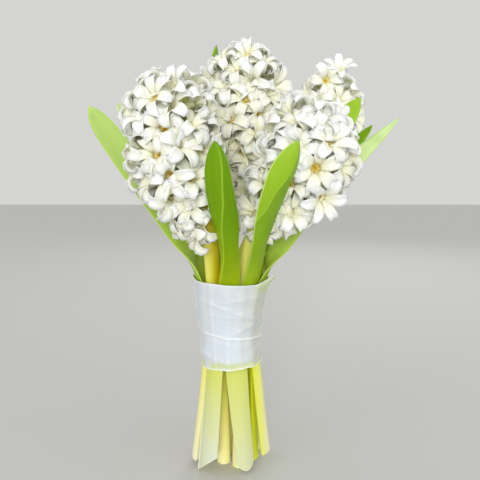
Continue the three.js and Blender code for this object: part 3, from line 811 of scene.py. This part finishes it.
def tubes(size, stalk):
    # A turned profile: stalk, swollen foot, waist, mouth, then down into the throat. The wall
    # has six soft ribs. A row of it is radius, height in tube lengths, and reach, and the first
    # row's height is the stalk's own.
    profile = np.array([
        [0.9, 0.0, 0.0], [1.1, -1.42, 0.06], [2.4, -1.3, 0.15], [3.4, -1.12, 0.3],
        [3.1, -0.88, 0.5], [2.4, -0.62, 0.72], [2.6, -0.34, 0.92], [2.9, -0.18, 1.0],
        [2.4, -0.2, 1.0], [1.8, -0.4, 1.0], [1.3, -0.7, 1.0],
    ])
    mouthRow = 7  # the last one on the outside
    row = np.arange(len(profile))[:, None]
    turn = -np.arange(floret["tubeRing"]) * 2 * math.pi / floret["tubeRing"]
    radius = profile[:, :1] * (1 + 0.05 * np.cos(6 * turn)) * size[:, None, None]
    z = profile[:, 1] * floret["tubeLength"] * size[:, None]
    z[:, 0] = -stalk
    x, y = radius * np.cos(turn), radius * -np.sin(turn)
    values = {
        "reach": profile[:, 2:], "across": np.cos(3 * turn), "outside": row <= mouthRow,
        "throat": np.interp(row, [mouthRow, mouthRow + 1, row[-1, 0]], [0, 0.5, 1]),
    }
    return np.stack(np.broadcast_arrays(x, y, z[..., None]), -1), values


def anthers(size):
    # six slim spindles that lie against the throat's wall
    z = np.array([-6.4, -4.9, -3.2])[:, None]
    thick = np.array([0.25, 0.55, 0.3])[:, None]
    away = np.array([1.1, 1.2, 1.5])[:, None]
    corner = np.arange(4) * math.pi / 2
    turn = np.arange(6) * math.pi / 3 + math.pi / 6
    spindles = turnedRound(away + thick * np.cos(corner), thick * np.sin(corner), z, turn)
    return spindles[None] * size[:, None, None, None, None]


def headShapes(flower):
    # lobes, tubes and anthers made about each floret's own axis and put in place on the head: the
    # petals' shells joined as one shape, and the anthers as another
    draw = np.random.default_rng(flower["seed"])
    root, mouth, along, over = floretSpots(flower, draw)
    count = len(root)
    size = flower["size"] * (1.0 - floret["sizeFall"] * smooth(over))
    size = size * draw.uniform(*floret["sizeRange"], count)
    curl = draw.normal(floret["curl"], floret["curlSpread"], count) - floret["curlFall"] * smooth(over)
    lean = draw.normal(0, floret["tilt"], (count, 3))
    roll = draw.uniform(0, math.pi / 3, count)
    tone = draw.uniform(0, 1, count)
    # the cream share: partly age, partly painted shade, most on the lowest florets
    age = flower["age"] * np.clip(1.15 - along - 0.5 * over, 0, 1)
    stalk = np.linalg.norm(mouth - root, axis=1) - floret["rootOut"]

    def settled(local, values):
        # before x, y and z, the last two sizes are a shell's rows and ring, and the rest its copies
        points = placed(local, root, mouth, lean, roll, stalk)
        points = clearLeaves(points, leafRoom["petal"], flower["behind"])
        grid = points.shape[:-1]
        rows, ring = grid[-2:]
        faces = repeatFaces(shellFaces(rows, ring), math.prod(grid[:-2]), rows * ring)
        values = {k: np.broadcast_to(v, grid).ravel() for k, v in values.items()}
        each = math.prod(grid[1:])
        values |= {"tone": np.repeat(tone, each), "age": np.repeat(age, each)}
        return points.reshape(-1, 3), faces, values

    petals = joined([settled(*lobes(size, np.radians(curl), draw)), settled(*tubes(size, stalk))])
    return petals, settled(anthers(size), {})


for name, flower in flowers.items():
    petals, spindles = headShapes(flower)
    makePiece(f"florets_{name}", petals, petal, [f"head_{name}"])
    makePiece(f"anthers_{name}", spindles, anther, [f"head_{name}"])
print("stage: flower heads made")


# the white band

band = {
    "profile": [[76, 20.4], [85, 20.6], [99, 20.3], [108, 21.4], [118, 22.6], [124, 23.6], [138, 26.0]],
    "thickness": 0.45, "seamAngle": math.radians(72), "overlap": math.radians(28),
    "columns": 220, "rows": 40,
    "flap": [[-54, 0], [-42, 2.0], [-28, 4.6], [-15, 5.8], [-5, 4.2], [2, 1.2], [9, 0]],  # degrees, rise
    "flapFlare": 0.95,
    "faceting": 0.3, "lumps": 0.55, "ripple": 0.3, "seed": 11,
    "lap": 0.5,  # how far out the tape works from its inner end to its outer one
    "hem": [0.3, 0.7],  # how proud the hems stand, and over what height
    "ridge": 0.5,  # rise of the upright ridges, which are at these bearings and this wide, in degrees
    "ridges": [(-122, 4), (-95, 6), (-71, 5), (-49, 6), (-20, 7), (170, 8), (60, 7), (110, 6)],
    # the tape laid out flat: its radius on the bunch, both widths, and how much longer the upper one is
    "tapeRadius": 22.5, "lowWidth": 29, "highWidth": 41, "highLonger": 1.08,
}


def ridges(angle):
    # a sum of bell curves round the bunch, where leaves press the tape out from within
    total = 0
    for at, wide in band["ridges"]:
        gap = (np.degrees(angle) - at + 180) % 360 - 180
        total = total + np.exp(-((gap / wide) ** 2))
    return total


def bandTurn(lowEdge, highEdge, lift, creases, flap):
    # One turn of tape: its ends overlap at the back, the outer end a thickness further out. The
    # radius follows the bunch by height, with soft lumps where leaves press, and creases that are
    # narrow ridges along slanted lines.
    b = band
    turn = np.linspace(0, 2 * math.pi + b["overlap"], b["columns"])
    angle = b["seamAngle"] + turn
    v = np.linspace(0, 1, b["rows"])[:, None]
    degrees = (np.degrees(angle) + 180) % 360 - 180
    corner = flap * np.interp(degrees, *np.array(b["flap"]).T)
    low, high = lowEdge(angle), highEdge(angle) + corner
    z = mix(low, high, v)
    radius = np.interp(z, *np.array(b["profile"]).T)
    radius = radius + b["faceting"] * np.cos(8 * angle + 0.6)
    radius = radius + b["lumps"] * wobble(b["seed"], angle * 1.3, z * 0.03)
    for z0, slope, at, long, rise, wide in creases:
        gap = (angle - math.radians(at) + math.pi) % (2 * math.pi) - math.pi
        radius = radius + rise * np.exp(-(((z - z0 - slope * gap) / wide) ** 2) - (gap / long) ** 2)
    radius = radius + b["ripple"] * wobble(b["seed"] + 1, angle * 3, z * 0.16)
    radius = radius + b["ridge"] * ridges(angle)
    flare = b["flapFlare"] * corner * smooth((v - 0.6) / 0.4) ** 2
    radius = radius + lift + b["lap"] * smooth(turn / (2 * math.pi)) + flare
    hem = np.exp(-(z - low) / b["hem"][1]) + np.exp(-(high - z) / b["hem"][1])
    radius = radius + b["hem"][0] * hem

    def skin(r):
        # polar places about the tie's axis
        return np.stack([tieAxis[0] + r * np.cos(angle), tieAxis[1] + r * np.sin(angle), z], -1)

    def bothSides(grid):
        # rings run across the tape, up the outside and down the inside
        return np.concatenate([grid, grid[::-1]], 0).swapaxes(0, 1).ravel()

    outer, inner = skin(radius), skin(radius - b["thickness"])
    ring = np.concatenate([outer, inner[::-1]], 0).swapaxes(0, 1)
    faces = shellFaces(*ring.shape[:2])[:, ::-1]
    values = {"hem": bothSides(np.clip(hem, 0, 1)), "flap": bothSides(np.clip(flare, 0, 1))}
    return ring.reshape(-1, 3), faces, values


def edgeAt(height, tilt, towards, ripple, seed):
    # height + tilt * cos(bearing - towards) + ripple * wobble, as a function of the bearing
    return lambda a: height + tilt * np.cos(a - math.radians(towards)) + ripple * wobble(seed, a * 2.0)


def softCreases(seed, count, low, high):
    # seeded creases between two heights, each as a fold below
    draw = np.random.default_rng(seed)
    return [(draw.uniform(low, high), draw.normal(0, 7), draw.uniform(0, 360), draw.uniform(0.25, 0.8),
             draw.uniform(0.15, 0.6), draw.uniform(0.8, 2.2)) for _ in range(count)]


# folds of their own: height, slope, bearing, reach, rise and width
lowFolds = [(80.5, 5, -35, 0.6, 0.6, 0.5), (93, 0, -5, 0.5, -0.7, 3)]
highFolds = [(117.5, 2, -6, 0.45, -0.9, 1.6), (121, -6, -110, 0.4, 0.7, 1.0), (101.5, 0, -5, 0.5, -0.8, 3)]

lowerTurn = bandTurn(edgeAt(76.0, 1.9, 335, 0.4, 2), edgeAt(104, 0.5, 0, 0.3, 5), lift=0.5,
                     creases=softCreases(5, 16, 78, 98) + lowFolds, flap=0.0)
upperTurn = bandTurn(edgeAt(98.4, 2.2, 190, 0.4, 9), edgeAt(137, 1.0, 150, 0.4, 14), lift=1.0,
                     creases=softCreases(6, 26, 102, 136) + highFolds, flap=1.0)
tapeLow = makePiece("tape_lower", lowerTurn, tape, ["tie_band"], sharp=70)
tapeHigh = makePiece("tape_upper", upperTurn, tape, ["tie_band"], sharp=70)
print("stage: band made")


# floor, light and camera, in metres

stage = {"edge": 3.0, "floor": (0.60, 0.60, 0.59, 1), "room": (0.66, 0.66, 0.65, 1), "roomLight": 1.0}
# aim is the height over the origin that a lamp looks at, and size is a panel's side, or how wide a
# distant light is, as an angle
lamps = {
    "key": {"place": (-0.6, -0.6, 0.95), "aim": 0.17, "size": 0.6, "power": 0.9,
            "colour": (1.0, 0.985, 0.96)},
    "front": {"place": (-0.15, -2.0, 0.55), "aim": 0.17, "size": math.radians(25), "power": 1.75,
              "colour": (1.0, 0.99, 0.97), "kind": "SUN"},
    "fill": {"place": (0.8, -0.55, 0.45), "aim": 0.15, "size": 0.8, "power": 1.0,
             "colour": (0.92, 0.96, 1.0)},
    "rim": {"place": (0.3, 0.9, 0.8), "aim": 0.2, "size": 0.6, "power": 2.2,
            "colour": (1.0, 1.0, 1.0)},
}
view = {
    "place": tieAxis * mm + (0.0057, -0.356, 0.210), "pitch": 7.5,
    "sensor": 36, "focus": 36 * 515 / 480,  # the lens sees 480 parts of width at 515 parts away
}


def makeStage():
    # one level square at z = 0, and an even pale room round it
    edge = stage["edge"]
    corners = [(-edge, -edge, 0), (edge, -edge, 0), (edge, edge, 0), (-edge, edge, 0)]
    floorMesh = bpy.data.meshes.new("floor")
    floorMesh.from_pydata(corners, [], [(0, 1, 2, 3)])
    floorMesh.materials.append(Nodes("paleFloor").set(Base_Color=stage["floor"], Roughness=0.85))
    floor = bpy.data.objects.new("floor", floorMesh)
    bpy.context.collection.objects.link(floor)
    world = bpy.data.worlds.new("softRoom")
    bpy.context.scene.world = world
    world.use_nodes = True
    background = world.node_tree.nodes["Background"]
    background.inputs["Color"].default_value = stage["room"]
    background.inputs["Strength"].default_value = stage["roomLight"]
    bpy.context.scene.view_settings.view_transform = "Standard"


def makeLight(name, place, aim, size, power, colour, kind="AREA"):
    # a lamp that looks from its place to the point at the height of aim over the origin
    data = bpy.data.lights.new(name, kind)
    data.energy, data.color = power, colour
    if kind == "AREA":
        data.size = size
    else:
        data.angle = size
    light = bpy.data.objects.new(name, data)
    bpy.context.collection.objects.link(light)
    light.location = place
    direction = Vector((0, 0, aim)) - Vector(place)
    light.rotation_euler = direction.to_track_quat("-Z", "Y").to_euler()


def makeCamera():
    # level with the horizon, then tipped down by the pitch
    data = bpy.data.cameras.new("camera")
    data.lens, data.sensor_width, data.clip_start = view["focus"], view["sensor"], 0.01
    camera = bpy.data.objects.new("camera", data)
    bpy.context.collection.objects.link(camera)
    camera.location = view["place"]
    camera.rotation_euler = (math.radians(90 - view["pitch"]), 0, 0)
    bpy.context.scene.camera = camera


makeStage()
for name, lamp in lamps.items():
    makeLight(name, **lamp)
makeCamera()
print("stage: floor, light and camera made")
